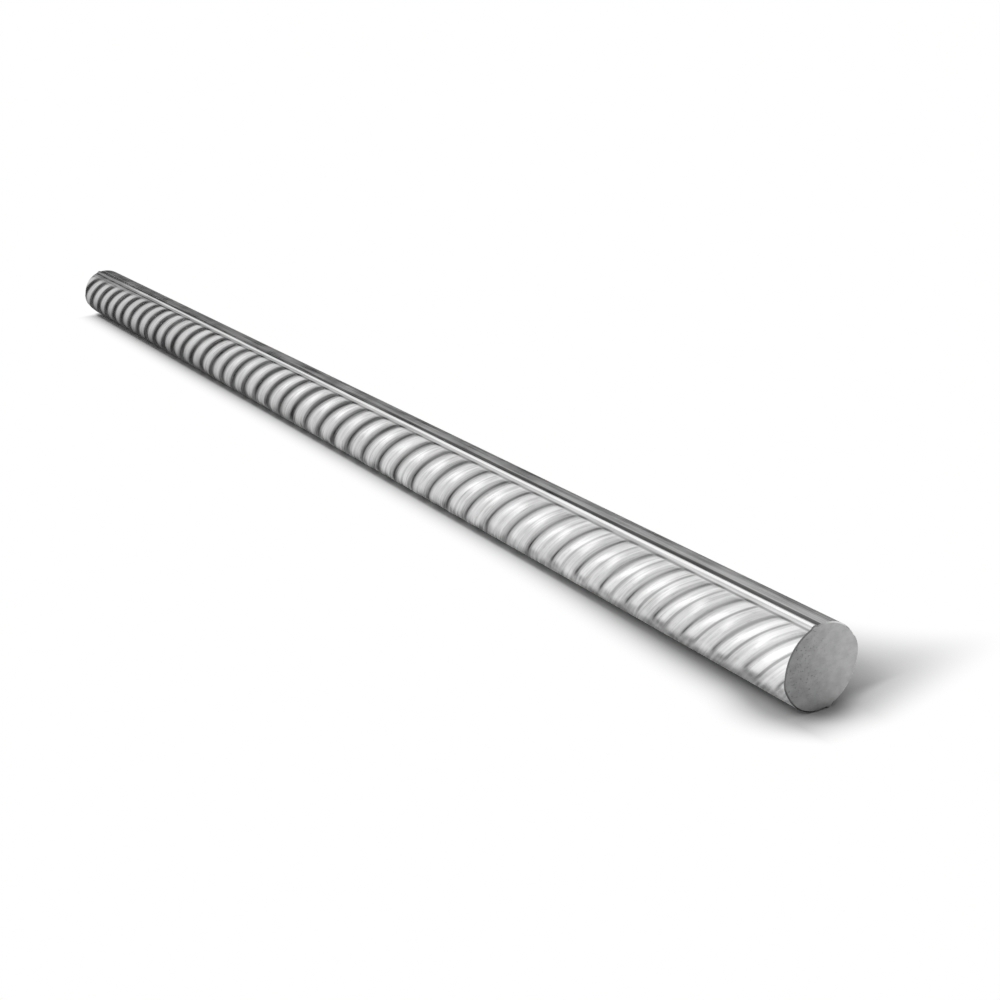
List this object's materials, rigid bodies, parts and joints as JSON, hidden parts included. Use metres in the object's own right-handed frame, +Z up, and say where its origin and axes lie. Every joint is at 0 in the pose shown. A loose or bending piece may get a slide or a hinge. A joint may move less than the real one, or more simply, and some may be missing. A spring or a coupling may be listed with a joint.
{
  "type": "ribbed steel reinforcing bar",
  "caption": "Straight round steel bar with low lengthwise ribs, slanted grip ribs along both sides and flat sawn ends, for reinforcing concrete.",
  "frame": {"origin": "on the floor under the middle of the bar", "axes": "+X along the bar, +Z up, lying as the bar rests unheld on a level floor"},
  "size_m": [0.45, 0.0192, 0.0193],
  "materials": {
    "rolled_steel": "bright silvery rolled steel, fine marks along the bar, greyer sawn ends"
  },
  "bodies": {
    "root": {"ribbed_bar": "rolled_steel"}
  },
  "joints": []
}
